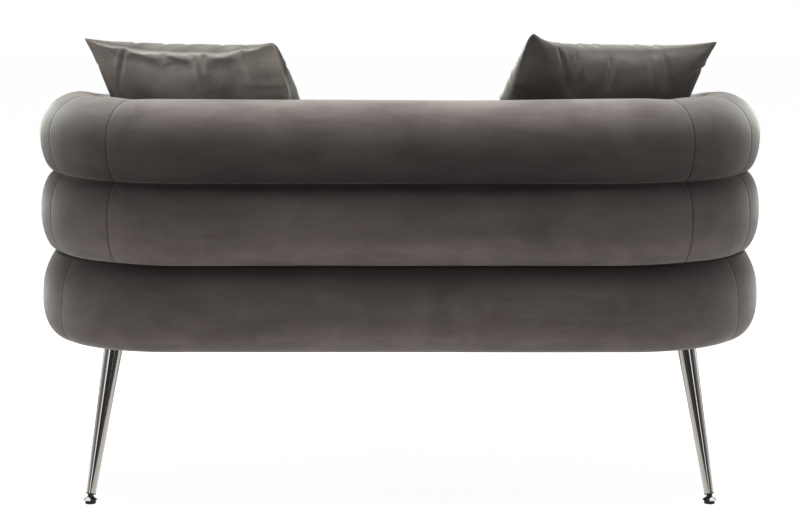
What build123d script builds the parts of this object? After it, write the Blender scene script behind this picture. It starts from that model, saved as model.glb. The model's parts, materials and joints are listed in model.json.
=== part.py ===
from build123d import *
from math import cos, radians, sin, sqrt, tan
import os

os.makedirs("parts", exist_ok=True)

# Frame: millimetres, floor at Z = 0, the seat opens towards -Y, the back is at +Y.

# Overall form
overall_width = 1350.0
overall_depth = 700.0
rear_corner = 316.0
front_corner = 120.0
base_bottom = 292.0
base_belt = 372.0
seat_line = 450.0
roll_rise = 145.0
roll_half = 75.0
draw_in = 28.0
bottom_tuck = 45.0

# Arms: the rolls slim down and drop towards their rounded front ends
arm_setback = 30.0
arm_end_half = 70.0
mid_drop = 8.0
top_drop = 22.0

# Seat crown: distance in from the edge, height over the seat line
crown_steps = ((0.0, 0.0), (12.0, 5.5), (28.0, 9.8), (48.0, 13.0), (72.0, 15.0))
crown_margin = 1.0

# Wall, board and rails
panel = 18.0
wall_into_top_roll = 70.0
tab = 60.0
board = 15.0
board_margin = 3.0
window_edge = 200.0
window_bridge = 130.0
window_corner = 40.0
rail = 25.0
rail_height = 60.0
stretcher_height = 40.0
stretcher_inset = 401.0
block_leg = 70.0
cavity_corner = 15.0

# Seat layers
strap_width = 60.0
strap = 1.5
long_straps = 7
cross_straps = 3
strap_edge = 6.0
felt = 2.0
felt_margin = 8.0
foam = 57.0
dust_cloth = 1.0
dust_margin = 3.0

# Legs: foot and top lie on one straight axis, given by the foot and its outward direction
plate_size = 60.0
plate_corner = 8.0
plate = 3.0
leg_run = 60.8
leg_top_radius = 17.3
leg_end_radius = 8.3
leg_bore = 6.8
leg_overrun = 8.0
rear_foot_side = 109.0
rear_foot_back = 106.0
rear_splay = 45.0
front_foot_side = 50.4
front_foot_front = 100.0
front_splay = -21.4

# Levelling feet
plug_flange = 2.0
plug_lip = 0.5
plug_body = 24.0
stud_radius = 4.0
stud_length = 34.0
collar_radius = 5.2
collar_length = 4.4
stop_gap = 0.4
neck_z = 12.5
flange_top_radius = 6.0
flange_radius = 12.9
flange_rim_z = 7.2
pad_radius = 9.6

# Loose cushions
pillow_half = 216.0
pillow_sag = 18.0
pillow_yaw = 31.0
pillow_lean = 30.0
pillow_arm_gap = 8.5
pillow_back_gap = 20.8
pillow_seat_gap = 2.8
pillow_bulge = 66.0
pillow_edge = 6.0
wadding = 9.0

# Clearances
fit = 0.3
thread_gap = 0.1

# Corners: a quarter turn, and how far a corner's radius follows the outline as that draws in
quarter = 90.0
corner_ease = 0.9

# Derived lines of the wall and the rolls
half_width = overall_width / 2
half_depth = overall_depth / 2
arm_x = half_width - roll_half
back_y = half_depth - roll_half
bend = rear_corner - roll_half
bend_x = arm_x - bend
bend_y = back_y - bend
arm_end_y = arm_setback - half_depth + arm_end_half
arm_length = bend_y - arm_end_y
mid_top = seat_line + roll_rise
roll_top = mid_top + roll_rise
wall_top = mid_top + wall_into_top_roll
roll_flat = roll_half - draw_in
inner_front = roll_half - panel / 2 - half_depth

# Derived levels of the base
board_bottom = base_bottom + dust_cloth
board_top = board_bottom + board
rail_top = board_top + rail_height
cross_level = rail_top + strap
felt_bottom = cross_level + strap
foam_bottom = felt_bottom + felt
foam_top = foam_bottom + foam
plate_bottom = board_bottom - plate
wall_inside = arm_x - panel / 2
back_inside = back_y - panel / 2
front_rail_y = inner_front + fit + rail / 2
board_inset = bottom_tuck + board_margin


def rounded_plan(level, width, back, front, rear_radius, front_radius):
    """Face symmetric in X, with its own radius for the rear and for the front corners."""
    rear_x = width - rear_radius
    front_x = width - front_radius
    with BuildSketch(Plane.XY.offset(level)) as plan:
        with BuildLine():
            Line((width, front + front_radius), (width, back - rear_radius))
            CenterArc((rear_x, back - rear_radius), rear_radius, 0, quarter)
            Line((rear_x, back), (-rear_x, back))
            CenterArc((-rear_x, back - rear_radius), rear_radius, quarter, quarter)
            Line((-width, back - rear_radius), (-width, front + front_radius))
            CenterArc((-front_x, front + front_radius), front_radius, 2 * quarter, quarter)
            Line((-front_x, front), (front_x, front))
            CenterArc((front_x, front + front_radius), front_radius, 3 * quarter, quarter)
        make_face()
    return plan.sketch


def base_plan(level, inset):
    """Outline of the base block, drawn in by one distance all round."""
    return rounded_plan(
        level,
        half_width - inset,
        half_depth - inset,
        inset - half_depth,
        rear_corner - corner_ease * inset,
        front_corner - corner_ease * inset,
    )


def crown_plan(level, inset):
    """Outline of the seat between the rolls, drawn in by one distance all round."""
    return rounded_plan(
        level,
        arm_x - roll_flat - inset,
        back_y - roll_flat - inset,
        draw_in + inset - half_depth,
        bend - roll_flat - corner_ease * inset,
        front_corner - draw_in - corner_ease * inset,
    )


def inner_plan(level, offset):
    """Outline of the space inside the padding, grown by one distance all round."""
    return rounded_plan(
        level,
        arm_x + panel / 2 + offset,
        back_y + panel / 2 + offset,
        inner_front - offset,
        bend + panel / 2 + offset,
        cavity_corner + offset,
    )


def seat_plan(level, offset):
    """Outline of the space inside the wall, open to the front of the base."""
    return rounded_plan(
        level,
        wall_inside + offset,
        back_inside + offset,
        inner_front - offset,
        bend - panel / 2 + offset,
        cavity_corner + offset,
    )


def wall_strip(level, width):
    """The U-shaped run of the wall, seen from above."""
    with BuildSketch(Plane.XY.offset(level)) as strip:
        with BuildLine():
            Line((arm_x, arm_end_y), (arm_x, bend_y))
            CenterArc((bend_x, bend_y), bend, 0, quarter)
            Line((bend_x, back_y), (-bend_x, back_y))
            CenterArc((-bend_x, bend_y), bend, quarter, quarter)
            Line((-arm_x, bend_y), (-arm_x, arm_end_y))
        trace(line_width=width)
    return strip.sketch


def corner_strip(level, side, radius, width):
    """A quarter ring round the centre of one rear bend."""
    start = 0 if side > 0 else quarter
    with BuildSketch(Plane.XY.offset(level)) as strip:
        with BuildLine():
            CenterArc((side * bend_x, bend_y), radius, start, quarter)
        trace(line_width=width)
    return strip.sketch


def roll_section(side, y, half, low, high, domed, whole=True):
    """Section of a roll on the arm's centre line: squashed flat below, domed or flat above."""
    flat = half - draw_in
    at = Plane(origin=(side * arm_x, y, 0), x_dir=(1, 0, 0), z_dir=(0, -1, 0))
    with BuildSketch(at) as section:
        with BuildLine():
            Line((0, high), (0, low))
            Line((0, low), (flat, low))
            if domed:
                TangentArc((half, high - half), (flat, low), tangent=(0, -1))
                CenterArc((0, high - half), half, 0, quarter)
            else:
                ThreePointArc((flat, low), (half, (low + high) / 2), (flat, high))
                Line((flat, high), (0, high))
        make_face()
        if whole:
            mirror(about=Plane.YZ)
    return section.sketch


def roll(low, high, front_low, front_high, domed):
    """One roll: round the back, along both arms, and round their front ends."""
    with BuildLine(Plane.XY.offset(low)) as run:
        CenterArc((bend_x, bend_y), bend, 0, quarter)
        Line((bend_x, back_y), (-bend_x, back_y))
        CenterArc((-bend_x, bend_y), bend, quarter, quarter)
    sweep(roll_section(1, bend_y, roll_half, low, high, domed), path=run.wires()[0])
    for side in (1, -1):
        rear = roll_section(side, bend_y, roll_half, low, high, domed)
        front = roll_section(side, arm_end_y, arm_end_half, front_low, front_high, domed)
        loft([rear, front], ruled=True)
        nose = roll_section(side, arm_end_y, arm_end_half, front_low, front_high, domed, whole=False)
        revolve(nose, axis=Axis((side * arm_x, arm_end_y, 0), (0, 0, -1)), revolution_arc=2 * quarter)


def save(builder, name):
    builder.part.label = name
    export_step(builder.part, f"parts/{name}.step")


# Rolls
with BuildPart() as mid_roll:
    roll(seat_line, mid_top, seat_line, mid_top - mid_drop, domed=False)
    extrude(wall_strip(seat_line, panel + 2 * fit), amount=roll_rise, mode=Mode.SUBTRACT)
save(mid_roll, "mid_roll")

with BuildPart() as top_roll:
    roll(mid_top, roll_top, mid_top - mid_drop, roll_top - top_drop, domed=True)
    slot = wall_strip(mid_top - mid_drop, panel + 2 * fit)
    extrude(slot, amount=wall_top + fit - mid_top + mid_drop, mode=Mode.SUBTRACT)
save(top_roll, "top_roll")

# Base block: tucked in below, widest at the belt, drawn in under the rolls, crowned on the seat
under_steps = (1.0, 0.97, 0.88, 0.72, 0.5, 0.25, 0.0)
over_steps = (0.3, 0.55, 0.8, 1.0)
with BuildPart() as seat_cover:
    levels = []
    for step in under_steps:
        level = base_belt - step * (base_belt - base_bottom)
        levels.append(base_plan(level, bottom_tuck * (1 - sqrt(1 - step**2))))
    for step in over_steps:
        levels.append(base_plan(base_belt + step * (seat_line - base_belt), draw_in * step**2))
    loft(levels, ruled=True)
    crown = [crown_plan(seat_line + rise, crown_margin + inset) for inset, rise in crown_steps]
    loft(crown, ruled=True)
    pocket = base_plan(base_bottom, board_inset - fit)
    extrude(pocket, amount=board_top - base_bottom, mode=Mode.SUBTRACT)
    extrude(inner_plan(board_top, fit), amount=foam_top - board_top, mode=Mode.SUBTRACT)
    slot = wall_strip(foam_top, panel + 2 * fit)
    extrude(slot, amount=seat_line - foam_top, mode=Mode.SUBTRACT)
save(seat_cover, "seat_cover")

# Seat layers
with BuildPart() as seat_foam:
    extrude(seat_plan(foam_bottom, -fit), amount=foam)
save(seat_foam, "seat_foam")

with BuildPart() as seat_felt:
    extrude(seat_plan(felt_bottom, -felt_margin), amount=felt)
save(seat_felt, "seat_felt")

strap_bend = bend - panel / 2 - strap_edge
long_pitch = 2 * (wall_inside - rail) / (long_straps + 0.5)
with BuildPart() as webbing_long:
    for number in range(long_straps):
        x = (number - (long_straps - 1) / 2) * long_pitch
        overhang = max(abs(x) + strap_width / 2 - bend_x, 0)
        rear = bend_y + sqrt(strap_bend**2 - overhang**2)
        front = inner_front + strap_edge
        with BuildSketch(Plane.XY.offset(rail_top)):
            with Locations((x, (rear + front) / 2)):
                Rectangle(strap_width, rear - front)
        extrude(amount=strap)
save(webbing_long, "webbing_long")

cross_space = back_inside - rail - front_rail_y - rail / 2
with BuildPart() as webbing_cross:
    for number in range(cross_straps):
        y = front_rail_y + rail / 2 + cross_space * (number + 0.5) / (cross_straps + 0.5)
        overhang = max(y + strap_width / 2 - bend_y, 0)
        with BuildSketch(Plane.XY.offset(cross_level)):
            with Locations((0, y)):
                Rectangle(2 * (bend_x + sqrt(strap_bend**2 - overhang**2)), strap_width)
        extrude(amount=strap)
save(webbing_cross, "webbing_cross")

# Wall panels: the straight ones stand in mortises of the board with a tab each side or end
arm_mid = (bend_y + arm_end_y) / 2
back_tabs = [(-bend_x / 2, back_y), (bend_x / 2, back_y)]
arm_tabs = [(-arm_x, arm_mid), (arm_x, arm_mid)]

with BuildPart() as back_panel:
    with BuildSketch(Plane.XY.offset(board_top)):
        with Locations((0, back_y)):
            Rectangle(2 * bend_x, panel)
    extrude(amount=wall_top - board_top)
    with BuildSketch(Plane.XY.offset(board_bottom)):
        with Locations(*back_tabs):
            Rectangle(tab, panel)
    extrude(amount=board)
save(back_panel, "back_panel")

for side, hand in ((1, "right"), (-1, "left")):
    with BuildPart() as corner_panel:
        extrude(corner_strip(board_top, side, bend, panel), amount=wall_top - board_top)
    save(corner_panel, f"{hand}_corner_panel")

    with BuildPart() as arm_panel:
        with BuildSketch(Plane.XY.offset(board_top)):
            with Locations((side * arm_x, arm_mid)):
                Rectangle(panel, arm_length)
        extrude(amount=wall_top - board_top)
        with BuildSketch(Plane.XY.offset(board_bottom)):
            with Locations((side * arm_x, arm_mid)):
                Rectangle(panel, tab)
        extrude(amount=board)
    save(arm_panel, f"{hand}_arm_panel")

    with BuildPart() as corner_rail:
        ring = corner_strip(board_top, side, bend - panel / 2 - fit - rail / 2, rail)
        extrude(ring, amount=rail_height)
    save(corner_rail, f"{hand}_corner_rail")

    with BuildPart() as side_rail:
        with BuildSketch(Plane.XY.offset(board_top)):
            with Locations((side * (wall_inside - rail / 2), (bend_y + inner_front + fit) / 2)):
                Rectangle(rail, bend_y - inner_front - fit)
        extrude(amount=rail_height)
    save(side_rail, f"{hand}_side_rail")

# Rails across
with BuildPart() as back_rail:
    with BuildSketch(Plane.XY.offset(board_top)):
        with Locations((0, back_inside - rail / 2)):
            Rectangle(2 * bend_x, rail)
    extrude(amount=rail_height)
save(back_rail, "back_rail")

with BuildPart() as front_rail:
    with BuildSketch(Plane.XY.offset(board_top)):
        with Locations((0, front_rail_y)):
            Rectangle(2 * (wall_inside - rail), rail)
    extrude(amount=rail_height)
save(front_rail, "front_rail")

stretcher_back = back_inside - rail
stretcher_front = front_rail_y + rail / 2
with BuildPart() as stretchers:
    with BuildSketch(Plane.XY.offset(board_top)):
        with Locations((0, (stretcher_back + stretcher_front) / 2)):
            with GridLocations(2 * (wall_inside - stretcher_inset), 0, 2, 1):
                Rectangle(rail, stretcher_back - stretcher_front)
    extrude(amount=stretcher_height)
save(stretchers, "stretchers")

block_x = wall_inside - rail
with BuildPart() as front_corner_blocks:
    with BuildSketch(Plane.XY.offset(board_top)):
        with BuildLine():
            Polyline(
                (block_x, stretcher_front),
                (block_x - block_leg, stretcher_front),
                (block_x, stretcher_front + block_leg),
                close=True,
            )
        make_face()
        mirror(about=Plane.YZ)
    extrude(amount=rail_height)
save(front_corner_blocks, "front_corner_blocks")


# Legs: one entry per corner, all values follow from the foot and the outward direction
def leg_lines(foot_x, foot_y, splay, side):
    """Foot point, top point and downward unit direction of one leg's axis."""
    out_x = side * cos(radians(splay))
    out_y = sin(radians(splay))
    low = Vector(side * foot_x, foot_y, neck_z)
    high = Vector(low.X - leg_run * out_x, low.Y - leg_run * out_y, plate_bottom)
    return low, high, (low - high).normalized()


rear_foot = (half_width - rear_foot_side, half_depth - rear_foot_back)
front_foot = (half_width - front_foot_side, front_foot_front - half_depth)
leg_places = {
    "rear_right": leg_lines(*rear_foot, rear_splay, 1),
    "rear_left": leg_lines(*rear_foot, rear_splay, -1),
    "front_right": leg_lines(*front_foot, front_splay, 1),
    "front_left": leg_lines(*front_foot, front_splay, -1),
}


def plate_spot(high, down):
    """Place of a leg's plate, turned to the leg's outward direction."""
    return Location(Plane(origin=(high.X, high.Y, 0), x_dir=(down.X, down.Y, 0), z_dir=(0, 0, 1)))


plate_spots = [plate_spot(high, down) for low, high, down in leg_places.values()]

# Base board with its two windows and the mortises of the wall, and the cloth under it
window_width = half_width - window_edge - window_bridge / 2
window_depth = overall_depth - 2 * window_edge + 2 * window_corner
with BuildPart() as base_board:
    extrude(base_plan(board_bottom, board_inset), amount=board)
    with BuildSketch(Plane.XY.offset(board_bottom)):
        with GridLocations(window_width + window_bridge, 0, 2, 1):
            RectangleRounded(window_width, window_depth, window_corner)
        with Locations(*back_tabs):
            Rectangle(tab + 2 * fit, panel + 2 * fit)
        with Locations(*arm_tabs):
            Rectangle(panel + 2 * fit, tab + 2 * fit)
    extrude(amount=board, mode=Mode.SUBTRACT)
save(base_board, "base_board")

with BuildPart() as dust_cover:
    extrude(base_plan(base_bottom, board_inset + dust_margin), amount=dust_cloth)
    plate_hole = plate_size + dust_margin
    with BuildSketch(Plane.XY.offset(base_bottom)):
        with Locations(*plate_spots):
            RectangleRounded(plate_hole, plate_hole, plate_corner + dust_margin / 2)
    extrude(amount=dust_cloth, mode=Mode.SUBTRACT)
save(dust_cover, "dust_cover")


def along(point, down):
    """Plane square to a leg's axis, looking up the leg."""
    return Plane(origin=point, x_dir=(-down.Y, down.X, 0), z_dir=-down)


def leg_taper(low, high, down):
    """Straight taper from a leg's lower end to a little over its plate, bored for the plug."""
    tube_end = low - down * (collar_length + stop_gap + plug_flange)
    run = (tube_end - high).length
    over = run + leg_overrun
    over_radius = leg_end_radius + (leg_top_radius - leg_end_radius) * over / run
    with BuildSketch(along(tube_end, down)) as end:
        Circle(leg_end_radius)
    with BuildSketch(along(tube_end - down * over, down)) as top:
        Circle(over_radius)
    loft([end.sketch, top.sketch], ruled=True)
    with BuildSketch(along(tube_end, down)) as bore:
        Circle(leg_bore)
    extrude(bore.sketch, amount=stud_length, mode=Mode.SUBTRACT)


with BuildPart() as legs:
    for low, high, down in leg_places.values():
        leg_taper(low, high, down)
    split(bisect_by=Plane.XY.offset(plate_bottom), keep=Keep.BOTTOM)
save(legs, "legs")

for corner, (low, high, down) in leg_places.items():
    with BuildPart() as leg_plate:
        with BuildSketch(Plane.XY.offset(plate_bottom)):
            with Locations(plate_spot(high, down)):
                RectangleRounded(plate_size, plate_size, plate_corner)
        extrude(amount=plate)
    save(leg_plate, f"{corner}_leg_plate")

    with BuildPart() as stud:
        with BuildSketch(along(low + down * collar_length, down)):
            Circle(collar_radius)
        extrude(amount=2 * collar_length)
        with BuildSketch(along(low, down)):
            Circle(stud_radius)
        extrude(amount=stud_length)
        split(bisect_by=Plane.XY.offset(neck_z), keep=Keep.TOP)
    save(stud, f"{corner}_glide_stud")

    with BuildPart() as flange:
        with BuildSketch(Plane.XY.offset(flange_rim_z)) as rim:
            with Locations((low.X, low.Y)):
                Circle(flange_radius)
        with BuildSketch(Plane.XY.offset(neck_z)) as neck:
            with Locations((low.X, low.Y)):
                Circle(flange_top_radius)
        loft([rim.sketch, neck.sketch], ruled=True)
    save(flange, f"{corner}_glide_flange")

    with BuildPart() as pad:
        with BuildSketch(Plane.XY):
            with Locations((low.X, low.Y)):
                Circle(pad_radius)
        extrude(amount=flange_rim_z)
    save(pad, f"{corner}_glide_pad")

with BuildPart() as leg_plugs:
    for low, high, down in leg_places.values():
        stop = low - down * (collar_length + stop_gap)
        with BuildSketch(along(stop, down)):
            Circle(leg_end_radius + plug_lip)
        extrude(amount=plug_flange)
        with BuildSketch(along(stop - down * plug_flange, down)):
            Circle(leg_bore - thread_gap)
        extrude(amount=plug_body)
        with BuildSketch(along(stop, down)):
            Circle(stud_radius + thread_gap)
        extrude(amount=plug_flange + plug_body, mode=Mode.SUBTRACT)
save(leg_plugs, "leg_plugs")


# Loose cushions: each bridges a rear corner, its side seams resting on the rolls of arm and back
def stand_off(slope):
    """How far a leaning edge stands off the belt of a round roll that it touches higher up."""
    return roll_half * (sqrt(1 + slope**2) - 1)


def pillow_plane(side):
    """Seam plane of a cushion, X outwards along the chord, Y up the lean."""
    yaw = radians(pillow_yaw)
    lean = radians(pillow_lean)
    chord = Vector(side * cos(yaw), -sin(yaw), 0)
    behind = Vector(side * sin(yaw), cos(yaw), 0)
    up = behind * sin(lean) + Vector(0, 0, cos(lean))
    reach = pillow_half - pillow_sag
    arm_gap = stand_off(tan(lean) * sin(yaw)) + pillow_arm_gap
    back_gap = stand_off(tan(lean) * cos(yaw)) + pillow_back_gap
    touch_x = arm_x - roll_half - arm_gap - reach * cos(yaw)
    touch_y = back_y - roll_half - back_gap - reach * sin(yaw)
    belt = roll_top - roll_half
    rest = seat_line + crown_steps[-1][1] + pillow_seat_gap + pillow_half * cos(lean)
    centre = Vector(side * touch_x, touch_y, belt) + up * ((rest - belt) / cos(lean))
    return Plane(origin=centre, x_dir=chord, z_dir=chord.cross(up))


def pillow_section(at, half, sag):
    """Square with drawn-in sides."""
    near = half - sag
    with BuildSketch(at) as section:
        with BuildLine():
            ThreePointArc((-half, -half), (0, -near), (half, -half))
            ThreePointArc((half, -half), (near, 0), (half, half))
            ThreePointArc((half, half), (0, near), (-half, half))
            ThreePointArc((-half, half), (-near, 0), (-half, -half))
        make_face()
    return section.sketch


def lens(at, half, bulge):
    """Section of a plump cushion, pointed at both sides."""
    with BuildSketch(at) as section:
        with BuildLine():
            ThreePointArc((-half, 0), (0, bulge), (half, 0))
            ThreePointArc((half, 0), (0, -bulge), (-half, 0))
        make_face()
    return section.sketch


def plump(seam, slimmer, mode=Mode.ADD):
    """Cushion that bulges both ways: two crossed lens runs, trimmed to the drawn-in seam."""
    half = pillow_half - slimmer
    bulge = pillow_bulge - slimmer
    across = Plane(origin=seam.origin, x_dir=seam.x_dir, z_dir=seam.y_dir)
    upward = Plane(origin=seam.origin, x_dir=seam.y_dir, z_dir=seam.x_dir)
    with BuildPart(mode=Mode.PRIVATE) as cushion:
        extrude(lens(across, half + pillow_edge, bulge), amount=half, both=True)
        extrude(lens(upward, half + pillow_edge, bulge), amount=half, both=True, mode=Mode.INTERSECT)
        extrude(pillow_section(seam, half, pillow_sag), amount=bulge, both=True, mode=Mode.INTERSECT)
    add(cushion.part, mode=mode)


for side, hand in ((1, "right"), (-1, "left")):
    seam = pillow_plane(side)
    with BuildPart() as pillow_cover:
        plump(seam, 0)
        plump(seam, wadding, mode=Mode.SUBTRACT)
    save(pillow_cover, f"{hand}_pillow_cover")

    with BuildPart() as pillow_fill:
        plump(seam, wadding)
    save(pillow_fill, f"{hand}_pillow_fill")
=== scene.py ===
import json
import random
from math import cos, exp, hypot, pi, radians, sin, tan

import bmesh
import bpy
from mathutils import Matrix, Vector, noise


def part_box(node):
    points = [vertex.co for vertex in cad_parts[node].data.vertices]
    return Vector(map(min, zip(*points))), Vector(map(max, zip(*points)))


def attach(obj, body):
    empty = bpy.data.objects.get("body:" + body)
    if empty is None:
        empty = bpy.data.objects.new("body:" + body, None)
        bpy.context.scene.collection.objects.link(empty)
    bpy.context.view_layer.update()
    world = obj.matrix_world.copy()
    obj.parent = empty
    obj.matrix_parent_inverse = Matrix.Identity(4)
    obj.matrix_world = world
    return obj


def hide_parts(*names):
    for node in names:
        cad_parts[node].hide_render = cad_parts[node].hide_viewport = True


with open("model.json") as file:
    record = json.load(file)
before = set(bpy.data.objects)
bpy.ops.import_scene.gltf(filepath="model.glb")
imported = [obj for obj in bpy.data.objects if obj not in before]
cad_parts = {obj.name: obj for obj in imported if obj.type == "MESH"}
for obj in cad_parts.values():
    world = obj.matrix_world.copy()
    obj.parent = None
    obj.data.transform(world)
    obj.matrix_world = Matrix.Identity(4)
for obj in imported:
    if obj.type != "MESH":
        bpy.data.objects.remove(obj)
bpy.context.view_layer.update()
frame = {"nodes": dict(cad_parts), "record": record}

nodes = frame["nodes"]

# Camera, fitted to the photograph's 800 x 530 frame
eye = Vector((0.0, 3.751, 0.955))
look_down = radians(8.35)
lens_mm = 88.74
film_mm = 36.0

# Upright cards that the polished legs mirror: first and last angle round the sofa, and strength
card_distance = 5.0
card_height = 5.0
card_middle = 0.6
dark_cards = (
    (-108, -84, 0.26),
    (-84, -46, 0.14),
    (-32, 20, 0.03),
    (30, 66, 0.05),
    (66, 100, 0.24),
    (134, 166, 0.06),
    (178, 226, 0.04),
)

# Flat cards on the floor, mirrored too: first and last place in depth, and strength
floor_card_width = 6.0
floor_card_rise = 0.003
floor_cards = (
    (-5.0, -0.8, 0.06),
    (-0.8, -0.2, 0.34),
    (-0.2, 0.3, 0.62),
    (0.3, 0.8, 0.50),
    (0.8, 5.0, 0.05),
)
card_tone = (1.0, 0.95, 0.91, 1)

# White room and soft lamps: name, width, height, place, watts and tone
floor_size = 40
floor_shown = 0.93
floor_tone = (0.80, 0.760, 0.755, 1)
floor_shadow_tone = (0.22, 0.22, 0.22, 1)
room_fill = 0.285
room_tone = (1.0, 0.968, 0.985, 1)
white = (1, 1, 1, 1)
lamp_aim = (0, 0, 0.5)
lamps = (
    ("top_softbox", 2.2, 2.0, (0.0, 0.1, 3.0), 262, (0.935, 1.0, 0.960)),
    ("left_softbox", 1.6, 2.2, (3.2, 1.0, 0.9), 15, (1.0, 0.95, 0.92)),
    ("right_softbox", 1.6, 2.2, (-3.2, 1.0, 0.9), 9, (1.0, 0.95, 0.92)),
    ("front_softbox", 2.4, 1.6, (0.0, -3.2, 2.2), 40, (1.0, 0.99, 0.98)),
)

# Lines of the sofa that the frame gives
base_low, base_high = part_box("seat_cover")
mid_low, mid_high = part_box("mid_roll")
top_low, top_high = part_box("top_roll")
dust_low, dust_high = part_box("dust_cover")
foam_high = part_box("seat_foam")[1]
board_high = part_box("base_board")[1]
half_width = base_high.x
half_depth = base_high.y
base_bottom = base_low.z
seat_line = mid_low.z
mid_top = mid_high.z
roll_top = top_high.z
mid_drop = mid_top - top_low.z

# Sections of the padding
roll_half = 0.075
arm_end_half = 0.070
draw_in = 0.028
bottom_tuck = 0.045
base_belt = 0.372
base_fullness = 2.1
base_square = 0.048
lining_gap = 0.0027
top_drop = 0.022
rear_corner = 0.316
front_corner = 0.120
corner_ease = 0.9
crown_width = 0.075
crown_rise = 0.015
crown_limit = 0.268
crown_spread = 1.4
least_corner = 0.001
wall_half = 0.009
cavity_corner = 0.015

# Run of the rolls round the back and both arms
arm_x = half_width - roll_half
back_y = half_depth - roll_half
bend = rear_corner - roll_half
bend_x = arm_x - bend
bend_y = back_y - bend
arm_end_y = top_low.y + arm_end_half
arm_run = bend_y - arm_end_y
bend_run = bend * pi / 2
back_run = 2 * bend_x
whole_run = 2 * (arm_run + bend_run) + back_run

# Seams, as turns round the rear corners from the back towards the arms
roll_seams = ((radians(30), 1.0), (radians(62), 0.6))
nose_seam = 0.5
base_seam = radians(54)
seam_half = 0.0016
seam_depth = 0.0015
dimple_depth = 0.0022
dimple_reach = 0.030
pucker_depth = 0.0009
pucker_reach = 0.022
puckers_round = 31
pucker_drift = 9
pucker_slant = 40
edge_mark = 0.8
seam_rows = (-2, -1, 0, 1, 2)

# Mesh and cloth
roll_step = 0.0095
base_step = 0.0115
roll_pressure = 3.0
roll_reach = 0.006
seat_reach = 0.005
settle_frames = 20
roll_bending = 0.6
side_levels = 12
rise_levels = 10
crown_levels = 26
nose_steps = 22
wave_depth = 0.0022
wave_scale = 5.5

# Painted light and shade on the velvet, from 0 for dark to 1 for light
seat_painted_light = 0.75
painted_light_slow = (0.55, 1.2)
painted_light_quick = (0.45, 8)
painted_light_aside = 0.7
painted_light_end = 0.42
painted_light_rise = 1.2
painted_shadow_foot = 0.25
# Cushions: painted light of their front faces and of each cushion's back face, one lit and one shaded
pillow_front_painted_light = 0.19
# Painted shade along the cushions' top seam: its reach and its level
pillow_rim_shade_reach = 0.032
pillow_rim_painted_light = 0.42
pillow_painted_lights = {"right": 1.0, "left": 0.16}

# Colours of the velvet, from its painted shade to its painted light
painted_shade_pile = (0.0092, 0.0048, 0.0056, 1)
painted_light_pile = (0.0945, 0.0800, 0.0768, 1)
cushion_painted_light_pile = (0.300, 0.276, 0.252, 1)
pile_fleck = (0.26, 0.217, 0.217, 1)
seam_thread = (0.012, 0.010, 0.010, 1)
sheen_tint = (0.92, 0.91, 0.87, 1)

# Loose cushions
pillow_half = 0.216
pillow_sag = 0.018
pillow_top_sag = 0.010
pillow_outer_fill = 0.8
outer_fill_start = 0.05
outer_fill_run = 0.4
pillow_corner_thin = 0.24
pillow_bulge = 0.066
pillow_fronts = {"right": 0.072, "left": 0.082}
pillow_slumps = {"right": 0.0, "left": 0.035}
pillow_lifts = {"right": 0.0, "left": 0.014}
lift_power = 5
pillow_yaw = radians(31)
pillow_lean = radians(30)
pillow_arm_gap = 0.0085
pillow_back_gap = 0.0208
pillow_seat_gap = 0.0028
pillow_ear = 2.6
pillow_tip = 0.016
inner_tip = 0.6
tip_power = 6
pillow_blunt = 0.008
outer_blunt = 0.5
blunt_power = 26
pillow_front_fullness = 0.27
pillow_back_fullness = 0.50
pillow_dent = 0.004
dent_scale = 9
pillow_cells = 84
cell_reach = 1.35
cell_crowding = 0.35
cell_corners = ((0, 0), (0, 1), (1, 1), (1, 0))
pillow_pressure = 2.0
pillow_slack = 0.004
pillow_reach = 0.006
pillow_bending = 0.05
pillow_frames = 20
tucks_along = 5
tuck_half = 0.0042
tuck_depth = 0.0105
tuck_least = 0.4
tuck_lengths = (0.009, 0.018)
tuck_span = 0.78
tuck_stray = 0.34
tuck_slant = 0.35
tuck_ridge = 0.45
tuck_fade = 5

# Small fixings under the base
screw_spread = 0.044
screw_head = 0.0044
screw_rise = 0.0022
screw_top = 0.55
rear_splay = radians(45)
front_splay = radians(21.4)
staple_spacing = 0.055
staple_width = 0.010
staple_wire = 0.0011
staple_inset = 0.012
staple_line_step = 0.02


class Wire:
    """An output socket; arithmetic on it adds Math nodes to its bench."""

    def __init__(self, bench, socket):
        self.bench = bench
        self.socket = socket

    def math(self, operation, *values):
        return self.bench.node("ShaderNodeMath", {"operation": operation}, dict(enumerate(values)))

    def __add__(self, other):
        return self.math("ADD", self, other)

    def __radd__(self, other):
        return self.math("ADD", other, self)

    def __mul__(self, other):
        return self.math("MULTIPLY", self, other)

    def __rmul__(self, other):
        return self.math("MULTIPLY", other, self)

    def larger(self, other):
        return self.math("MAXIMUM", self, other)


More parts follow.
